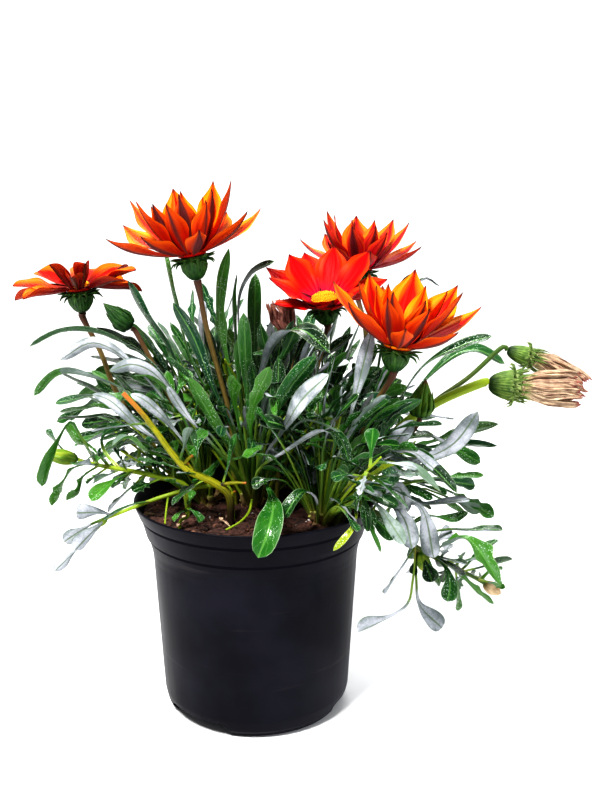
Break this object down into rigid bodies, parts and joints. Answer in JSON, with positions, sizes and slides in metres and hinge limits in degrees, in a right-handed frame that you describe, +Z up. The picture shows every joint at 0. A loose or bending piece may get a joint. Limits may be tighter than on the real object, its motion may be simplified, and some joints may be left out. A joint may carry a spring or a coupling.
{
  "type": "potted flowering plant",
  "caption": "Round nursery pot of soil with a leafy daisy-like plant: open blooms, withered heads, buds and trailing leafy sprays.",
  "frame": {"origin": "middle of the pot's base, on the floor", "axes": "+Z up along the pot's axis, -Y towards the viewer of the picture, +X to that viewer's right"},
  "size_m": [0.3621, 0.2398, 0.326],
  "materials": {
    "pot": "satin black, moulded",
    "soil": "damp, crumbly potting soil",
    "flower_stem": "smooth, olive brown",
    "green_stem": "thick, smooth, yellow green",
    "bracts": "dark green, satin",
    "orange_petals": "satin, orange with a red stripe",
    "red_petals": "satin, red",
    "disc": "rough, yellow florets",
    "dry_petals": "dry, pinkish tan",
    "dry_head": "dry, dark brown",
    "bud": "satin, green with a dark red tip",
    "leaves": "glossy green above, silver felt below",
    "old_stem": "smooth, bright yellow to orange"
  },
  "bodies": {
    "root": {"pot": "pot", "soil": "soil", "bloom_top_left_stem": "flower_stem", "bloom_top_left_cup": "bracts", "bloom_top_left_rays": "orange_petals", "bloom_top_left_disc": "disc", "bloom_far_left_stem": "flower_stem", "bloom_far_left_cup": "bracts", "bloom_far_left_rays": "orange_petals", "bloom_far_left_disc": "disc", "bloom_red_stem": "flower_stem", "bloom_red_cup": "bracts", "bloom_red_rays": "red_petals", "bloom_red_disc": "disc", "bloom_front_stem": "flower_stem", "bloom_front_cup": "bracts", "bloom_front_rays": "orange_petals", "bloom_front_disc": "disc", "bloom_back_stem": "flower_stem", "bloom_back_cup": "bracts", "bloom_back_rays": "orange_petals", "bloom_back_disc": "disc", "withered_front_stem": "green_stem", "withered_front_cup": "bracts", "withered_front_rays": "dry_petals", "withered_back_stem": "green_stem", "withered_back_cup": "bracts", "withered_back_rays": "dry_petals", "dry_head_stem": "flower_stem", "dry_head_cup": "bracts", "dry_head_rays": "dry_head", "bud_right": "bud", "bud_right_stem": "flower_stem", "bud_left": "bud", "bud_left_stem": "flower_stem", "crown_middle": "leaves", "crown_right": "leaves", "crown_left": "leaves", "crown_back_left": "leaves", "crown_back_right": "leaves", "spray_over_rim": "leaves", "spray_low_left": "leaves", "spray_trailing": "leaves", "seedling": "leaves", "old_stem": "old_stem"}
  },
  "joints": []
}
